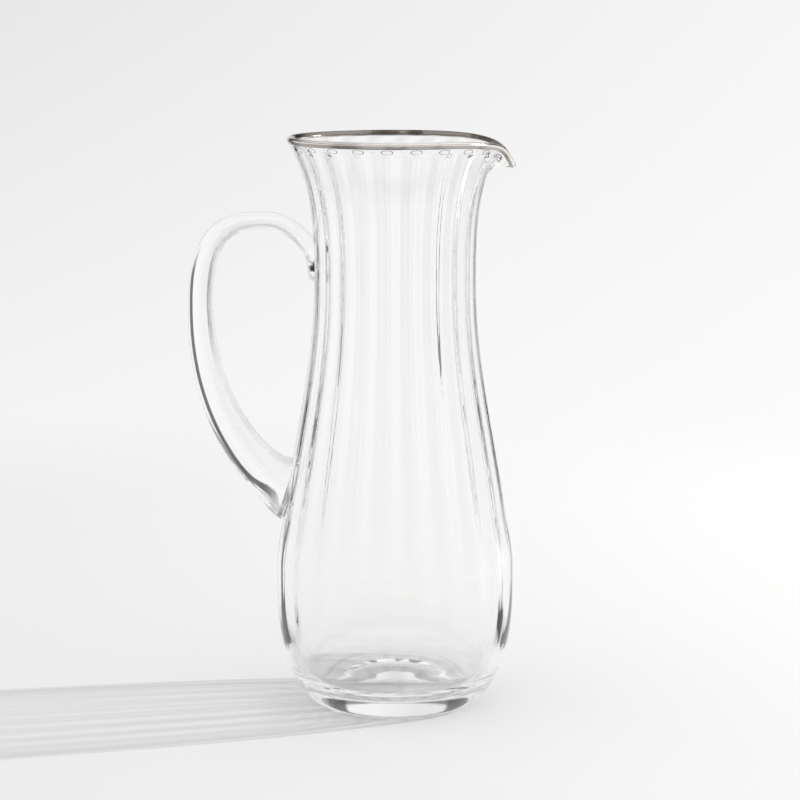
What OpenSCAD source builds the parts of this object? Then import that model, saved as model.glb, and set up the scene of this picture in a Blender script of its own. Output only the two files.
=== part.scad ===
// Blown glass water pitcher: an optic-ribbed vessel with a drooping spout, an
// applied solid glass handle and a fired-on silver band round the lip.
// Millimetres. +Z is up, the spout points along +X, the handle along -X, and
// the origin is the centre of the foot on the table.

/* [Vessel] */
// Height of the rim above the table
rim_height = 291.3; // [255:0.1:349.5]
// Outside radius of the lip
rim_radius = 54.5; // [47:0.1:60]
// Outward slope of the flare where it meets the lip
rim_slope = 0.57; // [0.4:0.01:0.7]
// Height of the narrowest part of the neck
neck_height = 217; // [190:1:226]
// Outside radius of the neck
neck_radius = 41.3; // [36:0.1:49.5]
// Height of the waist, between the neck and the belly
waist_height = 103; // [96:1:124]
// Outside radius at the waist
waist_radius = 56.5; // [52:0.1:58]
// Inward slope of the wall at the waist
waist_slope = 0.15; // [0.1:0.01:0.2]
// Height of the widest part of the belly
belly_height = 72; // [60:1:82]
// Outside radius of the belly
belly_radius = 60.8; // [58:0.1:73]

/* [Foot] */
// Outside radius of the flat ring that stands on the table
foot_radius = 38; // [32:0.1:40]
// Width of that flat ring
foot_width = 6; // [4:0.1:9]
// Rise of the hollow under the foot
punt_rise = 2.5; // [1:0.1:4]
// Height where the rounded heel meets the wall
heel_height = 14.5; // [12:0.5:17]
// Outside radius there
heel_radius = 51.9; // [49:0.1:54]
// Outward slope of the wall there
heel_slope = 0.48; // [0.35:0.01:0.55]

/* [Glass thickness] */
// Thickness of the lip
lip_thickness = 2.6; // [2:0.1:3.2]
// Thickness of the wall
wall = 3.7; // [3.2:0.1:4.5]
// Extra thickness of the wall where it meets the floor
wall_swell = 1.8; // [1:0.1:3]
// Height of the inside floor at its edge
floor_height = 11.5; // [9:0.1:14]
// Radius of the inside floor
floor_radius = 34; // [28:0.1:37]
// Rise of the floor towards its centre
floor_dome = 1.2; // [0.2:0.1:2.5]
// Height over which the floor's corner blends into the wall
corner_height = 12; // [9:0.5:16]

/* [Optic ribs] */
// Number of ribs round the inside
rib_count = 22; // [16:1:24]
// Height of a rib above the hollow beside it
rib_relief = 0.8; // [0.3:0.1:1.3]
// Where the first rib lies, in degrees on from a quarter turn past the spout
rib_turn = 3.8; // [0:0.1:16]
// Height where the ribs begin
rib_start = 34; // [24:1:40]
// Height over which they swell from nothing
rib_rise = 36; // [20:1:50]
// Distance below the rim where the ribs end
rib_end_depth = 4; // [3.5:0.1:12]
// Height over which they stop there
rib_stop = 2; // [1.5:0.1:4]

/* [Spout] */
// How far the spout reaches past the lip
spout_reach = 4.7; // [3.5:0.1:7]
// How far its tip drops below the dipped rim
spout_drop = 9.5; // [6.5:0.1:11]
// Half width of the spout, in degrees
spout_spread = 14; // [12:0.5:17]
// Half width of its drooping tip, in degrees
tip_spread = 11; // [10:0.5:12]
// How far the rim dips on the way to the channel
shoulder_drop = 4.3; // [2:0.1:5.5]
// Half width of that dip, in degrees
shoulder_spread = 33; // [25:1:40]
// How far below the lip the wall starts to fold into the spout
spout_depth = 21; // [17:0.5:29]

/* [Handle] */
// Height at which the handle's centre runs into the neck
upper_seat = 217; // [210:1:228]
// Height at which the handle's centre runs into the belly
lower_seat = 110.5; // [100:0.5:115]
// Distance from the pitcher's axis to the top of the handle's arch
crown_reach = 65; // [60:0.1:72]
// Height of the handle's centre at the top of its arch
crown_height = 248.9; // [244:0.1:254]
// Distance from the axis to the handle's centre at its outermost bend
bend_reach = 98.8; // [84:0.1:118.5]
// Height of that bend
bend_height = 205.8; // [196:0.1:212]
// Thickness at the top of the arch
crown_thickness = 8.8; // [7:0.1:10.5]
// Thickness at the outermost bend
bend_thickness = 12.9; // [10.8:0.1:15.5]
// Thickness where it meets the belly
seat_thickness = 26; // [21:0.1:28]
// Width at the top of the arch
crown_width = 11.5; // [9:0.1:13.5]
// Width at the outermost bend
bend_width = 15; // [12:0.1:18]
// Width where it meets the belly
seat_width = 22; // [17:0.1:25]
// How much the upper end spreads where it is pressed on to the neck
neck_flare = 5.5; // [3:0.1:6.5]
// How much the lower end spreads where it is pressed on to the belly
belly_flare = 4.5; // [1:0.5:7]

/* [Silver band] */
// How far the band runs down each side of the wall below the round of the lip
band_height = 1.3; // [0.8:0.1:3]
// Thickness of the metal
band_thickness = 0.12; // [0.1:0.01:0.3]

/* [Hidden] */

steps_per_rib = 4;
turn_steps = rib_count * steps_per_rib;
handle_sides = 20;
seat_depth = 5;             // how far each end runs into the wall before it is trimmed
glass_tint = [0.86, 0.92, 0.92, 0.45];
silver_tint = [0.62, 0.59, 0.55];

// ---- curves ----

function smooth(t) = let (c = max(0, min(1, t))) c * c * (3 - 2 * c);
function bell(distance, spread) = exp(-pow(distance / spread, 2));
function mix(a, b, t) = a + (b - a) * t;
function unit(v) = v / norm(v);

// Cubic through two knots [height, radius, slope].
function hermite(a, b, z) =
    let (span = b[0] - a[0], t = (z - a[0]) / span, t2 = t * t, t3 = t2 * t)
    (2 * t3 - 3 * t2 + 1) * a[1] + (t3 - 2 * t2 + t) * span * a[2]
    + (3 * t2 - 2 * t3) * b[1] + (t3 - t2) * span * b[2];

function bezier(p, t) = let (s = 1 - t)
    s * s * s * p[0] + 3 * s * s * t * p[1] + 3 * s * t * t * p[2] + t * t * t * p[3];

function parabola(start, turn, end, t) = let (s = 1 - t)
    s * s * start + 2 * s * t * turn + t * t * end;

// ---- the vessel's outside ----

lip_lean = rim_slope / sqrt(1 + rim_slope * rim_slope);
lip_height = rim_height - lip_thickness / 2 * (1 + lip_lean);
outline_knots = [
    [heel_height, heel_radius, heel_slope],
    [belly_height, belly_radius, 0],
    [waist_height, waist_radius, -waist_slope],
    [neck_height, neck_radius, 0],
    [lip_height, rim_radius, rim_slope],
];

function outline_radius(z) =
    let (k = z < belly_height ? 0 : z < waist_height ? 1 : z < neck_height ? 2 : 3)
    hermite(outline_knots[k], outline_knots[k + 1], z);

// Angle from the spout, from -180 to 180 degrees.
function from_spout(angle) = let (a = angle % 360) a > 180 ? a - 360 : a;

// A point on the outside. Near the rim the wall folds down and out into the spout.
function outside(angle, z) =
    let (a = from_spout(angle),
         fold = max(0, 1 - (lip_height - z) / spout_depth),
         reach = spout_reach * bell(a, spout_spread) * pow(fold, 2.6),
         dip = spout_drop * bell(a, tip_spread) + shoulder_drop * bell(a, shoulder_spread),
         r = outline_radius(z) + reach)
    [r * cos(angle), r * sin(angle), z - dip * pow(fold, 1.8)];

// The way up the wall and the way out of it at a point on the outside.
function up_wall(angle, z) = unit(outside(angle, z) - outside(angle, z - 0.1));
function round_wall(angle, z) = unit(outside(angle + 0.1, z) - outside(angle - 0.1, z));
function out_of_wall(angle, z) = unit(cross(round_wall(angle, z), up_wall(angle, z)));

// ---- the vessel's inside ----

corner_top = floor_height + corner_height;
function wall_at(z) = mix(lip_thickness, wall, smooth((lip_height - z) / 60))
    + wall_swell * pow(1 - smooth((z - corner_top) / (belly_height - corner_top)), 2);
function rib_at(z) = rib_relief
    * smooth((z - rib_start) / rib_rise)
    * smooth((rim_height - rib_end_depth - z) / rib_stop);
function inside(angle, z) = outside(angle, z) - out_of_wall(angle, z)
    * (wall_at(z) + rib_at(z) / 2 * cos(rib_count * (angle - 90 - rib_turn)));

// The lip is half round. Its turn goes from 0 outside to 180 inside.
function lip_point(angle, turn, proud = 0) =
    let (n = out_of_wall(angle, lip_height), m = up_wall(angle, lip_height))
    outside(angle, lip_height) - n * lip_thickness / 2
    + (n * cos(turn) + m * sin(turn)) * (lip_thickness / 2 + proud);

// ---- rings of points round the axis ----

turns = [for (i = [0 : turn_steps - 1]) i * 360 / turn_steps];
function flat_ring(p) = [for (a = turns) [p[0] * cos(a), p[0] * sin(a), p[1]]];

heel_turn = [heel_radius - heel_slope * heel_height, 0];
heel_rings = [for (i = [0 : 5])
    flat_ring(parabola([foot_radius, 0], heel_turn, [heel_radius, heel_height], i / 5))];

corner_radius = norm([inside(0, corner_top)[0], inside(0, corner_top)[1]]);
corner_turn = [corner_radius - heel_slope * corner_height / 2, floor_height];
corner_rings = [for (i = [0 : 4])
    flat_ring(parabola([corner_radius, corner_top], corner_turn, [floor_radius, floor_height], i / 4))];
floor_rings = [for (part = [0.93, 0.6])
    flat_ring([floor_radius * part, floor_height + floor_dome * cos(part * 90)])];

outside_heights = concat(
    [for (i = [1 : 5]) mix(heel_height, belly_height, i / 5)],
    [for (i = [1 : 3]) mix(belly_height, waist_height, i / 3)],
    [for (i = [1 : 6]) mix(waist_height, neck_height, i / 6)],
    [for (i = [1 : 10]) mix(neck_height, lip_height - band_height, 1 - pow(1 - i / 10, 1.5))]);
inside_heights = [for (i = [len(outside_heights) - 1 : -1 : 0])
    if (outside_heights[i] > corner_top + 1) outside_heights[i]];
lip_turns = [for (i = [0 : 4]) i * 45];

ground_away = 1;            // the foot starts this much too deep and is ground flat
base_centre = [0, 0, -ground_away];

outside_rings = concat(
    [flat_ring([foot_radius, -ground_away])],
    heel_rings,
    [for (z = outside_heights) [for (a = turns) outside(a, z)]]);
lip_rings = [for (t = lip_turns) [for (a = turns) lip_point(a, t)]];
inside_rings = concat(
    [for (z = inside_heights) [for (a = turns) inside(a, z)]],
    corner_rings,
    floor_rings);

// A solid skinned over rings, from one centre point to another.
module skin(rings, first, last) {
    n = len(rings[0]);
    rows = len(rings);
    points = concat([first], [for (ring = rings) for (p = ring) p], [last]);
    sides = [for (row = [0 : rows - 2]) for (i = [0 : n - 1])
        let (a = 1 + row * n + i, b = 1 + row * n + (i + 1) % n)
        each [[a, a + n, b], [b, a + n, b + n]]];
    start_cap = [for (i = [0 : n - 1]) [0, 1 + i, 1 + (i + 1) % n]];
    end_cap = let (base = 1 + (rows - 1) * n, tip = len(points) - 1)
        [for (i = [0 : n - 1]) [tip, base + (i + 1) % n, base + i]];
    polyhedron(points, concat(start_cap, sides, end_cap));
}

module blown_glass() {
    skin(concat(outside_rings, lip_rings, inside_rings),
         base_centre, [0, 0, floor_height + floor_dome]);
}

// The vessel's outside with nothing hollow, for trimming what is pressed on to it.
module vessel_outside() {
    skin(concat(outside_rings, [lip_rings[0]]), base_centre, [0, 0, lip_height]);
}

// What is ground off under the foot: a flat, and a shallow hollow inside the flat.
module grinding() {
    punt_radius = foot_radius - foot_width;
    ball = (punt_radius * punt_radius + punt_rise * punt_rise) / (2 * punt_rise);
    below = 4;
    translate([0, 0, -below])
        cylinder(h = below, r = foot_radius + below, $fn = 90);
    intersection() {
        translate([0, 0, punt_rise - ball])
            sphere(r = ball, $fn = 180);
        translate([0, 0, -ground_away / 2])
            cylinder(h = punt_rise + ground_away, r = foot_radius, $fn = 90);
    }
}

// ---- the handle ----

crown = [-crown_reach, crown_height];
bend = [-bend_reach, bend_height];
upper_end = [seat_depth - outline_radius(upper_seat), upper_seat];
lower_end = [seat_depth - outline_radius(lower_seat), lower_seat];

upper_round = 0.22;         // share of the neck-to-crown stretch that its rounded end takes
lower_round = 0.05;         // share of the bend-to-belly stretch that its rounded end takes

// The centreline [x, z]: 0 to 1 neck to crown, 1 to 2 crown to bend, 2 to 3 bend to belly.
function centre_of_handle(t) =
    let (across = bend_reach - crown_reach, fall = bend_height - lower_seat)
    t <= 1 ? bezier([upper_end, upper_end + [-3, 20], crown + [12, 0], crown], t)
    : t <= 2 ? bezier([crown, crown - [across * 0.45, 0], bend + [0, fall * 0.45], bend], t - 1)
    : bezier([bend, bend - [0, fall * 0.66], lower_end + [-13, 4], lower_end], t - 2);

function size_along(crown_size, bend_size, seat_size, t) =
    t <= 1 ? crown_size
    : t <= 2 ? mix(crown_size, bend_size, smooth(t - 1))
    : mix(bend_size, seat_size, t - 2);

// How wide a rounded end is, from 0 at its tip to 1 where the round begins.
function round_end(t) = t < 1 ? sqrt(1 - (1 - t) * (1 - t)) : 1;

function handle_ring(t) =
    let (p = centre_of_handle(t),
         d = unit(centre_of_handle(min(3, t + 0.01)) - centre_of_handle(max(0, t - 0.01))),
         flare = neck_flare * bell(norm(p - upper_end), 10) + belly_flare * bell(norm(p - lower_end), 13),
         rounded = round_end(t / upper_round) * round_end((3 - t) / lower_round),
         thick = (size_along(crown_thickness, bend_thickness, seat_thickness, t) / 2 + flare) * rounded,
         wide = (size_along(crown_width, bend_width, seat_width, t) / 2 + flare) * rounded)
    [for (i = [0 : handle_sides - 1])
        let (a = i * 360 / handle_sides, u = thick * cos(a))
        [p[0] + d[1] * u, wide * sin(a), p[1] - d[0] * u]];

handle_stops = concat(
    [for (i = [1 : 5]) upper_round * (1 - cos(i * 18))],
    [for (i = [1 : 9]) mix(upper_round, 1, i / 9)],
    [for (i = [1 : 13]) 1 + i / 13],
    [for (i = [1 : 12]) mix(2, 3 - lower_round, i / 12)],
    [for (i = [4 : -1 : 1]) 3 - lower_round * (1 - cos(i * 18))]);

module handle_rod() {
    rings = [for (t = handle_stops) handle_ring(t)];
    skin(rings, [upper_end[0], 0, upper_end[1]], [lower_end[0], 0, lower_end[1]]);
}

// ---- the pieces ----

module glass_body() {
    color(glass_tint)
        difference() {
            blown_glass();
            grinding();
        }
}

module handle() {
    color(glass_tint)
        difference() {
            handle_rod();
            vessel_outside();
        }
}

module silver_band() {
    low = lip_height - band_height;
    metal = concat(
        [[for (a = turns) outside(a, low)]],
        [[for (a = turns) outside(a, low) + out_of_wall(a, low) * band_thickness]],
        [for (t = lip_turns) [for (a = turns) lip_point(a, t, band_thickness)]],
        [[for (a = turns) inside(a, low) - out_of_wall(a, low) * band_thickness]],
        [[for (a = turns) inside(a, low)]]);
    against_glass = [for (i = [len(lip_rings) - 1 : -1 : 0]) lip_rings[i]];
    rings = concat(metal, against_glass);
    n = len(turns);
    rows = len(rings);
    color(silver_tint)
        polyhedron(
            [for (ring = rings) for (p = ring) p],
            [for (row = [0 : rows - 1]) for (i = [0 : n - 1])
                let (next = (row + 1) % rows,
                     a = row * n + i,
                     b = row * n + (i + 1) % n,
                     c = next * n + i,
                     d = next * n + (i + 1) % n)
                each [[a, c, d], [a, d, b]]]);
}

glass_body();
handle();
silver_band();
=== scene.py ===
"""A clear blown-glass water pitcher on a pale table.

Three pieces are made here, each in place of one CAD node: the optic-ribbed vessel, the solid
handle pressed on to it, and the silver band fired on to its lip. Sizes are in
millimetres, as a glassmaker would quote them; the meshes come out in metres.
"""

import math

import bmesh
import bpy
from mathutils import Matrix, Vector
from mathutils.bvhtree import BVHTree


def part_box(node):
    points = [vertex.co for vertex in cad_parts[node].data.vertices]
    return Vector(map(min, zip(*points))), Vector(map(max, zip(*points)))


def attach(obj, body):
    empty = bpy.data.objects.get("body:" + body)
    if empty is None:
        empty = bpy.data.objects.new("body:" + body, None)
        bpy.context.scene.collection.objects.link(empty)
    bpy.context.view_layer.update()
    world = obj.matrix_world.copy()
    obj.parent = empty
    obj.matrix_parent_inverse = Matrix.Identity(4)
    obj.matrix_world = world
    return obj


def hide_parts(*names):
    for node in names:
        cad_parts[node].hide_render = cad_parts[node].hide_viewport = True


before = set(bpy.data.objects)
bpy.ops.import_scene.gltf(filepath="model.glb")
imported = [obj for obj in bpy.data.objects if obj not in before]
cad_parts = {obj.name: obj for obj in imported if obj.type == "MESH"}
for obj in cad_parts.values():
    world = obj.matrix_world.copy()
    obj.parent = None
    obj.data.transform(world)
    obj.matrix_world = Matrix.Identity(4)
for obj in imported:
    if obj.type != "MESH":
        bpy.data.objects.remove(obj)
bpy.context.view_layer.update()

MM = 0.001
vessel_low, vessel_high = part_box("glass_body")

# ---- sizes, in millimetres ----

VESSEL = {
    "Rim Height": vessel_high[2] / MM,
    "Rim Radius": 54.5,
    "Rim Slope": 0.57,
    "Neck Height": 217.0,
    "Neck Radius": 41.3,
    "Waist Height": 103.0,
    "Waist Radius": 56.5,
    "Waist Slope": 0.15,
    "Belly Height": 72.0,
    "Belly Radius": -vessel_low[1] / MM,
    "Heel Height": 14.5,
    "Heel Radius": 51.9,
    "Heel Slope": 0.48,
    "Foot Radius": 38.0,
    "Foot Width": 6.0,
    "Punt Rise": 2.5,
    "Lip Thickness": 2.6,
    "Wall": 3.7,
    "Wall Swell": 1.8,
    "Floor Height": 11.5,
    "Floor Radius": 34.0,
    "Floor Dome": 1.2,
    "Corner Height": 12.0,
    "Rib Count": 22.0,
    "Rib Relief": 0.8,
    "Rib Turn": 3.8,
    "Rib Start": 34.0,
    "Rib Rise": 36.0,
    "Rib End Depth": 4.4,
    "Rib Stop": 2.4,
    "Rib Pocket": 0.42,
    "Spout Reach": 4.7,
    "Spout Drop": 9.5,
    "Spout Spread": 14.0,
    "Tip Spread": 11.0,
    "Shoulder Drop": 4.3,
    "Shoulder Spread": 33.0,
    "Spout Depth": 21.0,
    "Waviness": 0.16,
}
lip_lean = VESSEL["Rim Slope"] / math.hypot(1, VESSEL["Rim Slope"])
VESSEL["Lip Height"] = VESSEL["Rim Height"] - VESSEL["Lip Thickness"] / 2 * (1 + lip_lean)
VESSEL["Corner Top"] = VESSEL["Floor Height"] + VESSEL["Corner Height"]
CORE_BELOW_LIP = 24.0       # where the core that trims the handle stops
RIB_ENDS_BELOW_LIP = 9.0    # where the inner wall's rows start to lie closer together
HANDLE = {
    "Upper Seat": 217.0,
    "Lower Seat": 110.5,
    "Seat Depth": 5.0,
    "Crown Reach": 65.0,
    "Crown Height": 248.9,
    "Crown Thickness": 8.8,
    "Crown Width": 11.5,
    "Bend Reach": 98.8,
    "Bend Height": 205.8,
    "Bend Thickness": 12.9,
    "Bend Width": 15.0,
    "Seat Thickness": 26.0,
    "Seat Width": 22.0,
    "Neck Flare": 5.5,
    "Belly Flare": 4.5,
}
BAND = {
    "Band Height": 1.3,
    "Metal Proud": 0.12,
    "Metal Sunk": 0.04,
}
AROUND = 352            # faces round the vessel, 16 to a rib
UPPER_ROUND = 0.22      # share of the handle's first and last stretch that rounds off its end
LOWER_ROUND = 0.05
GRIP_MIDDLE = (-62, 165)    # how far out, and how high
HANDLE_TOE = (-57, 101)
TOE_SPREAD = 7
NECK_FLARE_SPREAD = 10
BELLY_FLARE_SPREAD = 13
ON_THE_WALL = 0.03      # a handle face this near the vessel's outline is fused to it


# ---- nodes written as sums ----

class Wire:
    """A socket in a node tree. Arithmetic on it adds the Math nodes that work it out."""

    def __init__(self, bench, socket):
        self.bench = bench
        self.socket = socket

    def __add__(self, other):
        return self.bench.maths("ADD", self, other)

    def __sub__(self, other):
        return self.bench.maths("SUBTRACT", self, other)

    def __rsub__(self, other):
        return self.bench.maths("SUBTRACT", other, self)

    def __mul__(self, other):
        return self.bench.maths("MULTIPLY", self, other)

    def __truediv__(self, other):
        return self.bench.maths("DIVIDE", self, other)

    def __rtruediv__(self, other):
        return self.bench.maths("DIVIDE", other, self)

    def __pow__(self, other):
        return self.bench.maths("POWER", self, other)

    __radd__ = __add__
    __rmul__ = __mul__


class Bench:
    """Where the nodes of one tree are put together."""

    def __init__(self, tree):
        self.tree = tree

    def node(self, kind, settings=None, sockets=None):
        """A node of this kind: its settings first, then the values or wires of its sockets."""
        made = self.tree.nodes.new(kind)
        for name, value in (settings or {}).items():
            setattr(made, name, value)
        for key, value in (sockets or {}).items():
            self.join(value, made.inputs[key])
        return made

    def join(self, value, socket):
        if isinstance(value, Wire):
            self.tree.links.new(value.socket, socket)
        elif isinstance(value, bpy.types.NodeSocket):
            self.tree.links.new(value, socket)
        else:
            socket.default_value = value

    def wire(self, kind, settings=None, sockets=None, out=0):
        return Wire(self, self.node(kind, settings, sockets).outputs[out])

    def maths(self, operation, *values):
        return self.wire("ShaderNodeMath", {"operation": operation}, dict(enumerate(values)))

    def clamped(self, value):
        return self.wire("ShaderNodeClamp", {}, {"Value": value})

    def smooth(self, value):
        t = self.clamped(value)
        return t * t * (3 - 2 * t)

    def bell(self, distance, spread):
        share = distance / spread
        return self.maths("EXPONENT", share * share * -1)

    def mix(self, a, b, t):
        return a + (b - a) * t

    def at(self, x, y, z):
        return self.wire("ShaderNodeCombineXYZ", {}, {0: x, 1: y, 2: z})

    def vector(self, operation, *values):
        return self.wire("ShaderNodeVectorMath", {"operation": operation}, dict(enumerate(values)))

    def along(self, start, way, distance):
        """The point at that distance from start, along a unit vector."""
        step = self.wire("ShaderNodeVectorMath", {"operation": "SCALE"}, {0: way, "Scale": distance})
        return self.vector("ADD", start, step)


# ---- the vessel's shape ----

def size_inputs(bench, *tables):
    """Adds a named input for each size, and returns their wires by name."""
    for table in tables:
        for name, value in table.items():
            socket = bench.tree.interface.new_socket(name, in_out="INPUT", socket_type="NodeSocketFloat")
            socket.default_value = value
    group = bench.node("NodeGroupInput")
    return {name: Wire(bench, group.outputs[name]) for table in tables for name in table}


def clamped(b, value):
    return b.clamped(value) if isinstance(value, Wire) else max(0.0, min(1.0, value))


def outline_radius(b, s, z):
    """Outside radius at a height: the heel's, and each span's change on the way up to there."""
    knots = [
        (s["Heel Height"], s["Heel Radius"], s["Heel Slope"]),
        (s["Belly Height"], s["Belly Radius"], None),
        (s["Waist Height"], s["Waist Radius"], s["Waist Slope"] * -1),
        (s["Neck Height"], s["Neck Radius"], None),
        (s["Lip Height"], s["Rim Radius"], s["Rim Slope"]),
    ]
    radius = s["Heel Radius"]
    for (low, low_radius, low_slope), (high, high_radius, high_slope) in zip(knots, knots[1:]):
        t = clamped(b, (z - low) / (high - low))
        radius = radius + (3 - 2 * t) * t * t * (high_radius - low_radius)
        if low_slope is not None:
            radius = radius + (t - 1) * (t - 1) * t * (high - low) * low_slope
        if high_slope is not None:
            radius = radius + (t - 1) * t * t * (high - low) * high_slope
    return radius


def corner_start():
    """Radius and height at which the inner wall gives way to the rounded corner."""
    z = VESSEL["Corner Top"]
    here, below = (outline_radius(None, VESSEL, at) for at in (z, z - 0.1))
    lean = math.atan2(here - below, 0.1)
    thickness = VESSEL["Wall"] + VESSEL["Wall Swell"]
    return here - thickness * math.cos(lean), z + thickness * math.sin(lean)


def wrap_round(b, s, pattern):
    """Takes a flat pattern to its place on the vessel. The pattern's x is the angle from the spout,
    its y the height, going on above the lip as the lip rises, and its z how far through the wall
    the point lies, from 0 outside to 1 inside."""
    flat = b.node("ShaderNodeSeparateXYZ", {}, {0: pattern})
    angle, height, through = (Wire(b, flat.outputs[k]) for k in (0, 1, 2))
    z = b.maths("MINIMUM", height, s["Lip Height"])
    rise = height - z

    def hung(angle, radius, z, fold):
        """Near the rim the wall folds down and out into the spout."""
        degrees = angle * (180 / math.pi)
        reach = s["Spout Reach"] * b.bell(degrees, s["Spout Spread"]) * fold ** 2.6
        dip = s["Spout Drop"] * b.bell(degrees, s["Tip Spread"])
        dip = dip + s["Shoulder Drop"] * b.bell(degrees, s["Shoulder Spread"])
        out = radius + reach
        return b.at(out * b.maths("COSINE", angle), out * b.maths("SINE", angle), z - dip * fold ** 1.8)

    def folded(z):
        return b.maths("MAXIMUM", 1 - (s["Lip Height"] - z) / s["Spout Depth"], 0.0)

    radius, fold = outline_radius(b, s, z), folded(z)
    here = hung(angle, radius, z, fold)
    below = hung(angle, outline_radius(b, s, z - 0.1), z - 0.1, folded(z - 0.1))
    before, after = (hung(angle + turn, radius, z, fold) for turn in (-0.002, 0.002))
    up = b.vector("NORMALIZE", b.vector("SUBTRACT", here, below))
    out = b.vector("NORMALIZE", b.vector("CROSS_PRODUCT", b.vector("SUBTRACT", after, before), up))

    wall = b.mix(s["Lip Thickness"], s["Wall"], b.smooth((s["Lip Height"] - z) / 60))
    low = 1 - b.smooth((z - s["Corner Top"]) / (s["Belly Height"] - s["Corner Top"]))
    rib = s["Rib Relief"] * b.smooth((z - s["Rib Start"]) / s["Rib Rise"])
    rib = rib * b.smooth((s["Rim Height"] - s["Rib End Depth"] - z) / s["Rib Stop"])
    turn = s["Rib Count"] * (angle - (90 + s["Rib Turn"]) * (math.pi / 180))
    hollow = 0.5 - 0.5 * b.maths("COSINE", turn)
    pocket_height = s["Rim Height"] - s["Rib End Depth"] - s["Rib Stop"]
    pocket = s["Rib Pocket"] * hollow * hollow * b.bell(z - pocket_height, 1.5)
    thickness = wall + s["Wall Swell"] * low * low + rib / 2 * b.maths("COSINE", turn) - pocket

    noise = b.wire("ShaderNodeTexNoise", {"noise_dimensions": "4D"}, {
        "Vector": b.vector("MULTIPLY", here, (0.030, 0.030, 0.011)), "W": 3 + 5 * through,
        "Scale": 1.0, "Detail": 1.5, "Roughness": 0.45})
    fade = b.smooth((s["Lip Height"] - z - 3) / 18) * b.smooth((z - s["Corner Top"]) / 25)
    wave = noise * s["Waviness"] * fade
    sunk = b.along(here, out, (through * thickness + wave) * -1)
    return b.along(sunk, up, rise)


def wrapping_group():
    """wrap_round as a group, for every piece that follows the vessel's wall."""
    tree = bpy.data.node_groups.new("wrap round the vessel", "GeometryNodeTree")
    b = Bench(tree)
    tree.interface.new_socket("Pattern", in_out="INPUT", socket_type="NodeSocketVector")
    s = size_inputs(b, VESSEL)
    pattern = Wire(b, b.node("NodeGroupInput").outputs["Pattern"])
    tree.interface.new_socket("Place", in_out="OUTPUT", socket_type="NodeSocketVector")
    b.node("NodeGroupOutput", {}, {"Place": wrap_round(b, s, pattern)})
    return tree


def grid(bench, columns, rows, place):
    """A sheet of faces. place gives the point at an angle, from -pi to pi, and a share of the way
    along, from 0 to 1."""
    sheet = bench.node("GeometryNodeMeshGrid", {}, {
        "Size X": 1.0, "Size Y": 1.0, "Vertices X": columns + 1, "Vertices Y": rows + 1})
    flat = bench.node("ShaderNodeSeparateXYZ", {}, {0: bench.wire("GeometryNodeInputPosition")})
    angle = Wire(bench, flat.outputs[0]) * (2 * math.pi)
    share = Wire(bench, flat.outputs[1]) + 0.5
    return bench.wire("GeometryNodeSetPosition", {}, {
        "Geometry": sheet.outputs["Mesh"], "Position": place(angle, share)})


def joined(bench, strips):
    node = bench.node("GeometryNodeJoinGeometry")
    for piece in reversed(strips):
        bench.tree.links.new(piece.socket, node.inputs[0])
    return Wire(bench, node.outputs[0])


def wrapped(bench, sizes, strips):
    """Strips laid out flat, joined and wrapped round the vessel in one go."""
    through = bench.wire("ShaderNodeSeparateXYZ", {}, {0: bench.wire("GeometryNodeInputPosition")}, out=2)
    strips = bench.wire("GeometryNodeStoreNamedAttribute", {"data_type": "FLOAT", "domain": "POINT"}, {
        "Geometry": joined(bench, strips), "Name": "through_wall", "Value": through})
    place = bench.wire("GeometryNodeGroup", {"node_tree": wrapping}, {
        "Pattern": bench.wire("GeometryNodeInputPosition"), **{name: sizes[name] for name in VESSEL}})
    return bench.wire("GeometryNodeSetPosition", {}, {"Geometry": strips, "Position": place})


def parabola(start, turn, end, t):
    back = 1 - t
    return back * back * start + 2 * t * back * turn + t * t * end


def ring(b, angle, radius, z):
    return b.at(radius * b.maths("COSINE", angle), radius * b.maths("SINE", angle), z)


def base_strips(b, s):
    """The hollow under the foot, the flat of the foot and the heel."""
    punt_radius = s["Foot Radius"] - s["Foot Width"]
    ball = (punt_radius * punt_radius + s["Punt Rise"] * s["Punt Rise"]) / (2 * s["Punt Rise"])
    heel_turn = s["Heel Radius"] - s["Heel Slope"] * s["Heel Height"]

    def punt(angle, t):
        radius = punt_radius * t
        rise = b.maths("SQRT", ball * ball - radius * radius) - ball + s["Punt Rise"]
        return ring(b, angle, radius, rise)

    def foot(angle, t):
        return ring(b, angle, b.mix(punt_radius, s["Foot Radius"], t), 0.0)

    def heel(angle, t):
        return ring(b, angle, parabola(s["Foot Radius"], heel_turn, s["Heel Radius"], t),
                    t * t * s["Heel Height"])

    return [grid(b, AROUND, 8, punt), grid(b, AROUND, 2, foot), grid(b, AROUND, 12, heel)]


def wall_strip(b, rows, low, high, through, bias=1.0, back=False):
    """A flat strip of wall between two heights, walked upwards, or back down. Its rows crowd
    towards the top."""
    def place(angle, t):
        left = t if back else 1 - t
        return b.at(angle, b.mix(low, high, 1 - left ** bias), through)
    return grid(b, AROUND, rows, place)


def lip_strip(b, s, rows, proud, back=False):
    """The half-round lip, or a skin lying proud of it."""
    half = s["Lip Thickness"] / 2

    def place(angle, t):
        turn = ((1 - t) if back else t) * math.pi
        through = 0.5 - b.maths("COSINE", turn) * (half + proud) / s["Lip Thickness"]
        return b.at(angle, s["Lip Height"] + b.maths("SINE", turn) * (half + proud), through)
    return grid(b, AROUND, rows, place)


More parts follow.
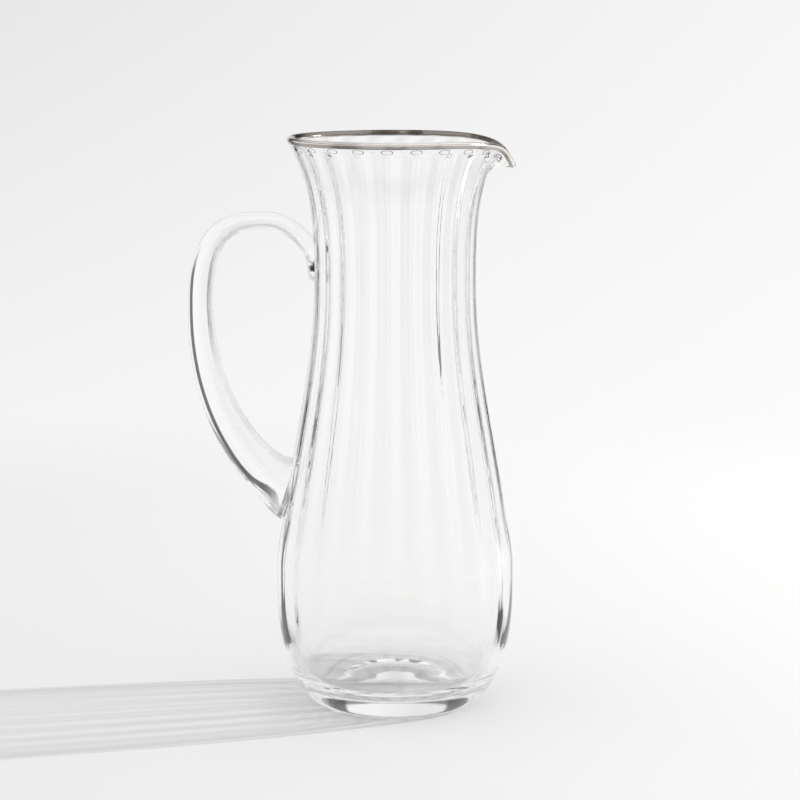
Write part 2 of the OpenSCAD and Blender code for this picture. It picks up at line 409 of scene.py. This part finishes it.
def floor_strips(b, s):
    """The rounded corner inside and the floor."""
    corner_turn = s["Corner Radius"] - s["Heel Slope"] * s["Corner Height"] / 2

    def corner(angle, t):
        return ring(b, angle, parabola(s["Corner Radius"], corner_turn, s["Floor Radius"], t),
                    parabola(s["Corner Start"], s["Floor Height"], s["Floor Height"], t))

    def floor(angle, t):
        rise = s["Floor Dome"] * b.maths("COSINE", (1 - t) * (math.pi / 2))
        return ring(b, angle, s["Floor Radius"] * (1 - t), s["Floor Height"] + rise)

    return [grid(b, AROUND, 10, corner), grid(b, AROUND, 8, floor)]


def close(bench, geometry, material):
    """Sews strips into one skin, brings it to metres and gives it its glass or metal."""
    sewn = bench.wire("GeometryNodeMergeByDistance", {}, {"Geometry": geometry, "Distance": 0.02})
    metres = bench.wire("GeometryNodeTransform", {}, {"Geometry": sewn, "Scale": (MM, MM, MM)})
    smooth = bench.wire("GeometryNodeSetShadeSmooth", {}, {"Geometry": metres, "Shade Smooth": True})
    plain = bench.wire("GeometryNodeRealizeInstances", {}, {"Geometry": smooth})
    done = bench.wire("GeometryNodeSetMaterial", {}, {"Geometry": plain, "Material": material})
    bench.tree.interface.new_socket("Geometry", in_out="OUTPUT", socket_type="NodeSocketGeometry")
    bench.node("NodeGroupOutput", {}, {"Geometry": done})


def plain_mesh(name, tree, sizes):
    """Runs a Geometry Nodes tree on an empty object and keeps the result as a plain mesh."""
    maker = bpy.data.objects.new(name + "_maker", bpy.data.meshes.new(name + "_maker"))
    bpy.context.scene.collection.objects.link(maker)
    modifier = maker.modifiers.new("Make", "NODES")
    modifier.node_group = tree
    for item in tree.interface.items_tree:
        if item.in_out == "INPUT" and item.name in sizes:
            modifier[item.identifier] = float(sizes[item.name])
    made = bpy.data.meshes.new_from_object(maker.evaluated_get(bpy.context.evaluated_depsgraph_get()))
    bpy.data.objects.remove(maker)
    made.name = name
    thing = bpy.data.objects.new(name, made)
    bpy.context.scene.collection.objects.link(thing)
    return thing


def cap(mesh):
    """Closes what is open in a mesh with one flat face."""
    sheet = bmesh.new()
    sheet.from_mesh(mesh)
    bmesh.ops.holes_fill(sheet, edges=[edge for edge in sheet.edges if edge.is_boundary], sides=0)
    sheet.to_mesh(mesh)
    sheet.free()


def make_vessel(name, material, hollow=True):
    """The blown vessel, or, not hollow, a core of the same outline to trim the handle with."""
    tree = bpy.data.node_groups.new(name + " shape", "GeometryNodeTree")
    b = Bench(tree)
    s = size_inputs(b, VESSEL)
    strips = [
        wall_strip(b, 22, s["Heel Height"], s["Belly Height"], 0.0),
        wall_strip(b, 38, s["Belly Height"], s["Neck Height"], 0.0),
    ]
    top = s["Lip Height"] - (RIB_ENDS_BELOW_LIP if hollow else CORE_BELOW_LIP)
    if hollow:
        strips += [
            wall_strip(b, 32, s["Neck Height"], s["Lip Height"], 0.0, 1.5),
            lip_strip(b, s, 10, 0.0),
            wall_strip(b, 24, top, s["Lip Height"], 1.0, back=True),
            wall_strip(b, 26, s["Neck Height"], top, 1.0, 1.2, back=True),
            wall_strip(b, 38, s["Belly Height"], s["Neck Height"], 1.0, back=True),
            wall_strip(b, 18, s["Corner Top"], s["Belly Height"], 1.0, back=True),
        ]
        ends = base_strips(b, s) + floor_strips(b, s)
    else:
        strips.append(wall_strip(b, 26, s["Neck Height"], top, 0.0))
        ends = base_strips(b, s)
    close(b, joined(b, [wrapped(b, s, strips)] + ends), material)
    vessel = plain_mesh(name, tree, VESSEL)
    if not hollow:
        cap(vessel.data)
    return vessel


# ---- the handle's shape ----

def make_rod(name, material):
    """The handle before it is trimmed to the vessel, its two ends run into the wall."""
    tree = bpy.data.node_groups.new(name + " shape", "GeometryNodeTree")
    b = Bench(tree)
    s = size_inputs(b, HANDLE)
    upper = (s["Upper Seat Reach"] * -1, s["Upper Seat"])
    lower = (s["Lower Seat Reach"] * -1, s["Lower Seat"])
    crown = (s["Crown Reach"] * -1, s["Crown Height"])
    bend = (s["Bend Reach"] * -1, s["Bend Height"])
    across = s["Bend Reach"] - s["Crown Reach"]
    fall = s["Bend Height"] - s["Lower Seat"]
    stretches = [
        (upper, (upper[0] - 3, upper[1] + 20), (crown[0] + 12, crown[1]), crown),
        (crown, (crown[0] - across * 0.45, crown[1]), (bend[0], bend[1] + fall * 0.45), bend),
        (bend, (bend[0], bend[1] - fall * 0.66), (lower[0] - 13, lower[1] + 4), lower),
    ]
    thickness = [s["Crown Thickness"], s["Crown Thickness"], s["Bend Thickness"], s["Seat Thickness"]]
    width = [s["Crown Width"], s["Crown Width"], s["Bend Width"], s["Seat Width"]]

    def blended(shares, points, k):
        return sum((share * p[k] for share, p in zip(shares, points)), 0.0)

    def apart(p, q):
        dx, dz = p[0] - q[0], p[1] - q[1]
        return b.maths("SQRT", dx * dx + dz * dz)

    def round_end(t):
        left = 1 - b.clamped(t)
        return b.maths("SQRT", b.maths("MAXIMUM", 1 - left * left, 0.0))

    def stretch(number, warp):
        points = stretches[number]
        steps = [(q[0] - p[0], q[1] - p[1]) for p, q in zip(points, points[1:])]

        def place(angle, share):
            t = warp(share)
            back = 1 - t
            shares = (back * back * back, 3 * t * back * back, 3 * t * t * back, t * t * t)
            p = blended(shares, points, 0), blended(shares, points, 1)
            leads = (back * back, 2 * t * back, t * t)
            dx, dz = blended(leads, steps, 0), blended(leads, steps, 1)
            length = b.maths("SQRT", dx * dx + dz * dz)
            growth = b.smooth(t) if number == 1 else t
            flare = s["Neck Flare"] * b.bell(apart(p, upper), NECK_FLARE_SPREAD)
            flare = flare + s["Belly Flare"] * b.bell(apart(p, lower), BELLY_FLARE_SPREAD)
            end = [round_end(t / UPPER_ROUND), 1.0, round_end((1 - t) / LOWER_ROUND)][number]
            thick = (b.mix(thickness[number], thickness[number + 1], growth) / 2 + flare) * end
            wide = (b.mix(width[number], width[number + 1], growth) / 2 + flare) * end
            u = thick * b.maths("COSINE", angle) / length
            return b.at(p[0] + dz * u, wide * b.maths("SINE", angle), p[1] - dx * u)
        return grid(b, 96, (56, 72, 96)[number], place)

    strips = [
        stretch(0, lambda share: 1 - b.maths("COSINE", share * (math.pi / 2))),
        stretch(1, lambda share: share),
        stretch(2, lambda share: b.maths("SINE", share * (math.pi / 2))),
    ]
    close(b, joined(b, strips), material)
    return plain_mesh(name, tree, HANDLE)


# ---- the silver band's shape ----

def make_band(name, material):
    """A thin closed skin of metal round the lip, sunk a little into the glass."""
    tree = bpy.data.node_groups.new(name + " shape", "GeometryNodeTree")
    b = Bench(tree)
    s = size_inputs(b, VESSEL, BAND)
    low = s["Lip Height"] - s["Band Height"]
    proud, sunk = s["Metal Proud"], s["Metal Sunk"] * -1
    over, under = proud / s["Lip Thickness"], sunk / s["Lip Thickness"]

    def edge(start, end):
        def place(angle, t):
            return b.at(angle, low, b.mix(start, end, t))
        return grid(b, AROUND, 1, place)

    strips = [
        edge(under * -1, over * -1),
        wall_strip(b, 3, low, s["Lip Height"], over * -1),
        lip_strip(b, s, 12, proud),
        wall_strip(b, 3, low, s["Lip Height"], 1 + over, back=True),
        edge(1 + over, 1 + under),
        wall_strip(b, 3, low, s["Lip Height"], 1 + under),
        lip_strip(b, s, 12, sunk, back=True),
        wall_strip(b, 3, low, s["Lip Height"], under * -1, back=True),
    ]
    close(b, wrapped(b, s, strips), material)
    return plain_mesh(name, tree, {**VESSEL, **BAND})


# ---- materials ----

def new_material(name):
    material = bpy.data.materials.new(name)
    material.use_nodes = True
    material.node_tree.nodes.clear()
    return material, Bench(material.node_tree)


SKINS_BEFORE_CLEAR = 11.0   # light that has met more skins than this goes straight on
INNER_SIDE_CLEAR = 0.75     # how much of the skin is left out on the handle's inner side and toe


def clear_glass(name, seat_attribute, seat_below):
    """Soda-lime glass. Where a piece is fused to its neighbour the skin between them doesn't show,
    and on the handle's inner side and toe it shows little. Light on its way to the table passes
    through most of it, less where it grazes the glass and in stripes, as many as there are ribs."""
    material, b = new_material(name)
    place = b.wire("ShaderNodeTexCoord", out="Object")
    striae = b.wire("ShaderNodeTexNoise", {}, {
        "Vector": b.vector("MULTIPLY", place, (260, 260, 34)),
        "Scale": 1.0, "Detail": 3.0, "Roughness": 0.5})
    swirl = b.wire("ShaderNodeTexNoise", {}, {
        "Vector": b.vector("MULTIPLY", place, (60, 60, 22)), "Scale": 1.0, "Detail": 2.0})
    smear = b.wire("ShaderNodeTexNoise", {}, {"Vector": place, "Scale": 38.0, "Detail": 5.0})
    roughness = b.smooth((smear - 0.6) * 4) * 0.03
    bump = b.node("ShaderNodeBump", {}, {
        "Strength": 0.12, "Distance": 0.0006, "Height": striae * 0.35 + swirl})
    glass = b.node("ShaderNodeBsdfPrincipled", {}, {
        "Base Color": (0.992, 0.993, 0.992, 1), "Roughness": roughness, "IOR": 1.5,
        "Transmission Weight": 1.0, "Normal": bump.outputs[0]})
    nothing = b.node("ShaderNodeBsdfTransparent")
    light = b.node("ShaderNodeLightPath")
    shadow = b.maths(
        "MAXIMUM", Wire(b, light.outputs["Is Shadow Ray"]), Wire(b, light.outputs["Is Diffuse Ray"]))
    facing = b.wire("ShaderNodeLayerWeight", {}, {"Blend": 0.5}, out="Facing")
    apart = b.node("ShaderNodeSeparateXYZ", {}, {0: place})
    angle = b.maths("ARCTAN2", Wire(b, apart.outputs[1]), Wire(b, apart.outputs[0]))
    flutes = b.maths("COSINE", angle * VESSEL["Rib Count"]) * 0.5 + 0.5
    dimmed = 0.03 + facing * facing * facing * 0.42 + flutes * flutes * flutes * 0.18
    shown = 1 - shadow * (1 - dimmed)
    piped = b.maths("GREATER_THAN", Wire(b, light.outputs["Ray Depth"]), SKINS_BEFORE_CLEAR)
    seat = b.wire("ShaderNodeAttribute", {"attribute_name": seat_attribute}, out="Fac")
    fused = b.maths("LESS_THAN" if seat_below else "GREATER_THAN", seat, 0.0 if seat_below else 0.5)
    fused = b.maths("MAXIMUM", fused, piped)
    soft = b.wire("ShaderNodeAttribute", {"attribute_name": "inner_side"}, out="Fac")
    skin = shown * (1 - fused) * (1 - soft * INNER_SIDE_CLEAR)
    mixed = b.node("ShaderNodeMixShader", {}, {0: skin, 1: nothing.outputs[0], 2: glass.outputs[0]})
    b.node("ShaderNodeOutputMaterial", {}, {"Surface": mixed.outputs[0]})
    return material


def silver_lustre():
    """Silver fired on to the lip by hand: streaky and a little tarnished. It is darker on the inside
    and along its lower edge outside: painted shade, standing in for dark surroundings the metal would
    mirror."""
    material, b = new_material("silver_lustre")
    place = b.wire("ShaderNodeTexCoord", out="Object")
    streak = b.wire("ShaderNodeTexNoise", {}, {
        "Vector": b.vector("MULTIPLY", place, (120, 120, 900)), "Scale": 1.0, "Detail": 4.0})
    patch = b.wire("ShaderNodeTexNoise", {}, {"Vector": place, "Scale": 55.0, "Detail": 3.0})
    tarnish = b.smooth((patch - 0.48) * 5)
    through = b.wire("ShaderNodeAttribute", {"attribute_name": "through_wall"}, out="Fac")
    # painted shade: the band's inner face and the lower edge of its outer face are darkened in colour,
    # standing in for reflected dark surroundings
    inside = b.smooth((through - 0.62) / 0.3)
    outside = b.smooth((0.02 - through) / 0.06)
    # tarnish and streaks are the silver's own tone; the inside and outside shares add painted shade
    tarnish_and_painted_shade = tarnish * 0.25 + streak * 0.1 + inside * 0.72 + outside * 0.55
    # the dark colour serves both the real tarnish and the painted shade
    colour = b.node("ShaderNodeMix", {"data_type": "RGBA"}, {
        0: b.clamped(tarnish_and_painted_shade), 6: (0.93, 0.88, 0.84, 1), 7: (0.10, 0.085, 0.07, 1)})
    bump = b.node("ShaderNodeBump", {}, {"Strength": 0.3, "Distance": 0.0002, "Height": streak})
    metal = b.node("ShaderNodeBsdfPrincipled", {}, {
        "Base Color": colour.outputs[2], "Metallic": 1.0,
        "Roughness": 0.06 + streak * 0.14 + tarnish * 0.1, "Normal": bump.outputs[0]})
    b.node("ShaderNodeOutputMaterial", {}, {"Surface": metal.outputs[0]})
    return material


def table_top(reach, fade):
    """A matt pale table that melts into the backdrop."""
    material, b = new_material("pale_table")
    place = b.wire("ShaderNodeTexCoord", out="Object")
    distance = b.wire("ShaderNodeVectorMath", {"operation": "LENGTH"}, {0: place}, out="Value")
    grain = b.wire("ShaderNodeTexNoise", {}, {"Vector": place, "Scale": 900.0, "Detail": 2.0})
    colour = b.node("ShaderNodeMix", {"data_type": "RGBA"}, {
        0: grain, 6: (0.735, 0.735, 0.73, 1), 7: (0.755, 0.755, 0.75, 1)})
    paper = b.node("ShaderNodeBsdfDiffuse", {}, {"Color": colour.outputs[2]})
    nothing = b.node("ShaderNodeBsdfTransparent")
    mixed = b.node("ShaderNodeMixShader", {}, {
        0: b.smooth((distance - reach) / fade), 1: paper.outputs[0], 2: nothing.outputs[0]})
    b.node("ShaderNodeOutputMaterial", {}, {"Surface": mixed.outputs[0]})
    return material


# ---- the pieces ----

VESSEL["Corner Radius"], VESSEL["Corner Start"] = corner_start()
for seat in ("Upper Seat", "Lower Seat"):
    HANDLE[seat + " Reach"] = outline_radius(None, VESSEL, HANDLE[seat]) - HANDLE["Seat Depth"]
wrapping = wrapping_group()

vessel_glass = clear_glass("clear_glass_vessel", "clear_of_handle", True)
handle_glass = clear_glass("clear_glass_handle", "fused_face", False)
lustre = silver_lustre()

vessel = make_vessel("pitcher_vessel", vessel_glass, True)
rod = make_rod("handle_rod", handle_glass)
solid = make_vessel("vessel_core", vessel_glass, hollow=False)
band = make_band("lip_band", lustre)


def faces_of(thing):
    mesh = thing.data
    return BVHTree.FromPolygons([v.co for v in mesh.vertices], [tuple(p.vertices) for p in mesh.polygons])


def mark_seats(vessel, rod):
    """Writes on each point of the vessel's outside how far it is clear of the handle, in millimetres."""
    mesh = vessel.data
    skin = faces_of(rod)
    clear = mesh.attributes.new("clear_of_handle", "FLOAT", "POINT")
    distances = [20.0] * len(mesh.vertices)
    for i, vertex in enumerate(mesh.vertices):
        p = vertex.co
        outwards = vertex.normal.x * p.x + vertex.normal.y * p.y > 0
        if outwards and p.x < 0 and abs(p.y) < 0.03:
            spot, normal, _, gap = skin.find_nearest(p)
            distances[i] = math.copysign(gap, (p - spot).dot(normal)) / MM
    clear.data.foreach_set("value", distances)


def trimmed(rod, core, name):
    """The rod with all that lies inside the vessel's outline cut away, its cut faces marked."""
    cut = rod.modifiers.new("Trim", "BOOLEAN")
    cut.operation = "DIFFERENCE"
    cut.solver = "MANIFOLD"
    cut.object = core
    mesh = bpy.data.meshes.new_from_object(rod.evaluated_get(bpy.context.evaluated_depsgraph_get()))
    mesh.name = name
    handle = bpy.data.objects.new(name, mesh)
    bpy.context.scene.collection.objects.link(handle)
    wall = faces_of(core)
    fused = mesh.attributes.new("fused_face", "FLOAT", "FACE")
    fused.data.foreach_set("value", [
        1.0 if wall.find_nearest(face.center)[3] < ON_THE_WALL * MM else 0.0 for face in mesh.polygons])
    mesh.set_sharp_from_angle(angle=math.radians(38))
    return handle


def mark_inner_side(handle, middle, toe):
    """Writes on each point of the handle how far it faces the middle of the grip, 0 to 1. The toe,
    its lowest tip, counts too."""
    inner = handle.data.attributes.new("inner_side", "FLOAT", "POINT")
    shares = []
    for vertex in handle.data.vertices:
        p = vertex.co
        inwards = Vector((middle[0] * MM - p.x, 0, middle[1] * MM - p.z)).normalized()
        inner_share = clamped(None, vertex.normal.dot(inwards) * 3 - 0.5)
        from_toe = math.hypot(p.x - toe[0] * MM, p.z - toe[1] * MM) / (TOE_SPREAD * MM)
        shares.append(max(inner_share, math.exp(-from_toe * from_toe)))
    inner.data.foreach_set("value", shares)


mark_seats(vessel, rod)
handle = trimmed(rod, solid, "pitcher_handle")
mark_inner_side(handle, GRIP_MIDDLE, HANDLE_TOE)
for spare in (rod, solid):
    bpy.data.objects.remove(spare)

# ---- table, light and camera ----

bpy.ops.mesh.primitive_grid_add(x_subdivisions=2, y_subdivisions=2, size=6.0)
table = bpy.context.object
table.name = "table"
table.data.materials.append(table_top(0.5, 0.5))

world = bpy.data.worlds.new("studio")
bpy.context.scene.world = world
world.use_nodes = True
world.node_tree.nodes.clear()
w = Bench(world.node_tree)
look = w.node("ShaderNodeSeparateXYZ", {}, {0: w.wire("ShaderNodeTexCoord", out="Generated")})
side, ahead, height = (Wire(w, look.outputs[k]) for k in (0, 1, 2))
bearing = w.maths("ARCTAN2", side, ahead) * (180 / math.pi)


def between(low, low_soft, high_soft, high, value):
    """1 from low + low_soft to high - high_soft, falling to 0 at low and at high."""
    return w.smooth((value - low) / low_soft) * w.smooth((high - value) / high_soft)


# A pale backdrop, brighter to the right, with two dark flags at the sides and a dark band high up
# for the glass to pick up along its edges. The camera itself sees only the backdrop.
lowered = w.clamped((height + 0.16) / 0.15)
across = w.maths("MAXIMUM", w.maths("MINIMUM", bearing, 10.0), -10.0)
across = across * w.smooth((170 - w.maths("ABSOLUTE", bearing)) / 70)
backdrop = 0.935 - lowered * 0.075 + across * (0.0035 + lowered * 0.0035)
right_flag = between(21, 3, 4, 39, bearing) * 0.88
left_flag = between(-45, 5, 4, -22, bearing) * 0.85
walls = between(0.16, 0.06, 0.1, 0.45, height) * 0.75
ceiling = 1 + w.smooth((height - 0.4) / 0.15) * 0.1
flags = (1 - right_flag - left_flag) * (1 - walls)
camera_sees = Wire(w, w.node("ShaderNodeLightPath").outputs["Is Camera Ray"])
lit = backdrop * w.mix(flags * ceiling, 1.0, camera_sees)
glow = w.node("ShaderNodeBackground", {}, {"Color": (1, 1, 1, 1), "Strength": lit})
w.node("ShaderNodeOutputWorld", {}, {"Surface": glow.outputs[0]})


def softbox(name, place, aim, side, watts):
    lamp = bpy.data.lights.new(name, "AREA")
    lamp.shape = "SQUARE"
    lamp.size = side
    lamp.energy = watts
    thing = bpy.data.objects.new(name, lamp)
    bpy.context.scene.collection.objects.link(thing)
    thing.location = place
    thing.rotation_euler = (Vector(aim) - Vector(place)).to_track_quat("-Z", "Y").to_euler()


softbox("key_from_the_right", (3.1, 0.73, 1.1), (0, 0, 0.12), 0.06, 150.0)

camera_data = bpy.data.cameras.new("camera")
camera_data.sensor_width = 36.0
camera_data.lens = 124.97
camera = bpy.data.objects.new("camera", camera_data)
bpy.context.scene.collection.objects.link(camera)
camera.location = (0.00244, -1.4, 0.378)
camera.rotation_euler = (math.radians(81.03), 0, 0)
bpy.context.scene.camera = camera

settings = bpy.context.scene.cycles
settings.max_bounces = 24
settings.transmission_bounces = 24
settings.glossy_bounces = 10
settings.transparent_max_bounces = 32
settings.caustics_reflective = False
settings.caustics_refractive = False
settings.use_denoising = True
bpy.context.scene.view_settings.view_transform = "Standard"

# ---- into the frame ----

for piece, node, finish in ((vessel, "glass_body", "clear_glass"), (handle, "handle", "clear_glass"),
                            (band, "silver_band", "silver_lustre")):
    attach(piece, "root")
    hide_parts(node)
